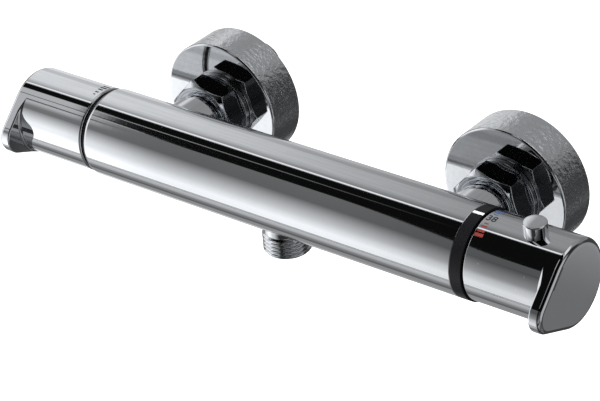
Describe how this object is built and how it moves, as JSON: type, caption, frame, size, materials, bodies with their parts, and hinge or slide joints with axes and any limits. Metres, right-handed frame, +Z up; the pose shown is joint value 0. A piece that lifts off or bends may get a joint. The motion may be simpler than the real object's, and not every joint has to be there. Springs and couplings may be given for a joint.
{
  "type": "thermostatic shower valve",
  "caption": "Round chrome bar mixer with a thermostat handle, a flow handle, union nuts, wall rosettes and a threaded hose outlet underneath.",
  "frame": {"origin": "on the wall plane, midway between the two inlets, at the height of the bar axis", "axes": "+X along the bar towards the temperature handle, +Y into the wall, +Z up"},
  "size_m": [0.2826, 0.1008, 0.0594],
  "materials": {
    "body_chrome": "mirror polished chrome",
    "handle_chrome": "mirror polished chrome",
    "nut_chrome": "polished chrome",
    "rosette_chrome": "polished chrome",
    "connector_chrome": "plain chrome, slightly rough",
    "outlet_chrome": "polished chrome",
    "ring_black": "satin black",
    "brass": "turned",
    "rubber": "matt",
    "white_plastic": "moulded",
    "ceramic": "lapped ceramic",
    "copper": "drawn copper",
    "spring_steel": "drawn stainless"
  },
  "bodies": {
    "valve": {"body_shell": "body_chrome", "index_ring": "ring_black", "glide_ring": "ring_black", "outlet_nipple": "outlet_chrome", "outlet_o_ring": "rubber", "inlet_tail_left": "nut_chrome", "inlet_tail_right": "nut_chrome", "union_nut_left": "nut_chrome", "union_nut_right": "nut_chrome", "union_washer_left": "rubber", "union_washer_right": "rubber", "inlet_strainer_left": "spring_steel", "inlet_strainer_right": "spring_steel", "check_housing_left": "white_plastic", "check_housing_right": "white_plastic", "check_spring_left": "spring_steel", "check_spring_right": "spring_steel", "wall_connector_left": "connector_chrome", "wall_connector_right": "connector_chrome", "rosette_left": "rosette_chrome", "rosette_right": "rosette_chrome", "rosette_seal_left": "rubber", "rosette_seal_right": "rubber", "cartridge_sleeve": "brass", "cartridge_o_rings": "rubber", "return_spring": "spring_steel", "gland_nut": "brass", "stop_ring": "white_plastic", "headwork_housing": "brass", "headwork_o_ring": "rubber", "fixed_disc": "ceramic"},
    "temperature_control": {"temp_handle": "handle_chrome", "temp_insert": "white_plastic", "temp_grub_screw": "spring_steel", "button_carrier": "white_plastic", "temperature_spindle": "brass", "button_spring": "spring_steel"},
    "stop_button": {"safety_button": "handle_chrome"},
    "thermostat_piston": {"regulating_piston": "white_plastic", "wax_element": "copper", "overload_cup": "brass", "overload_spring": "spring_steel"},
    "flow_control": {"flow_handle": "handle_chrome", "flow_insert": "white_plastic", "flow_grub_screw": "spring_steel", "flow_spindle": "brass", "turning_disc": "ceramic", "circlip": "spring_steel"},
    "left_poppet": {"check_poppet_left": "white_plastic"},
    "right_poppet": {"check_poppet_right": "white_plastic"}
  },
  "joints": [
    {"name": "temperature_turn", "type": "hinge", "parent": "valve", "child": "temperature_control", "pos_m": [0.1058, -0.06, 0], "axis": [1, 0, 0], "range_deg": [-60, 150]},
    {"name": "thermostat_shift", "type": "slide", "parent": "valve", "child": "thermostat_piston", "axis": [1, 0, 0], "range_m": [-0.0013, 0.0006], "deforming": ["return_spring"]},
    {"name": "button_press", "type": "slide", "parent": "temperature_control", "child": "stop_button", "axis": [0, 0.0872, -0.9962], "range_m": [0, 0.0012], "stiffness_N_per_m": 400, "springref_m": -0.0015, "deforming": ["button_spring"]},
    {"name": "flow_turn", "type": "hinge", "parent": "valve", "child": "flow_control", "pos_m": [-0.105, -0.06, 0], "axis": [1, 0, 0], "range_deg": [0, 90]},
    {"name": "left_check_lift", "type": "slide", "parent": "valve", "child": "left_poppet", "axis": [0, -1, 0], "range_m": [0, 0.002], "stiffness_N_per_m": 60, "springref_m": -0.002, "deforming": ["check_spring_left"]},
    {"name": "right_check_lift", "type": "slide", "parent": "valve", "child": "right_poppet", "axis": [0, -1, 0], "range_m": [0, 0.002], "stiffness_N_per_m": 60, "springref_m": -0.002, "deforming": ["check_spring_right"]}
  ],
  "couplings": [
    {"joint": "thermostat_shift", "follows": "temperature_turn", "m_per_rad": -0.000477}
  ]
}
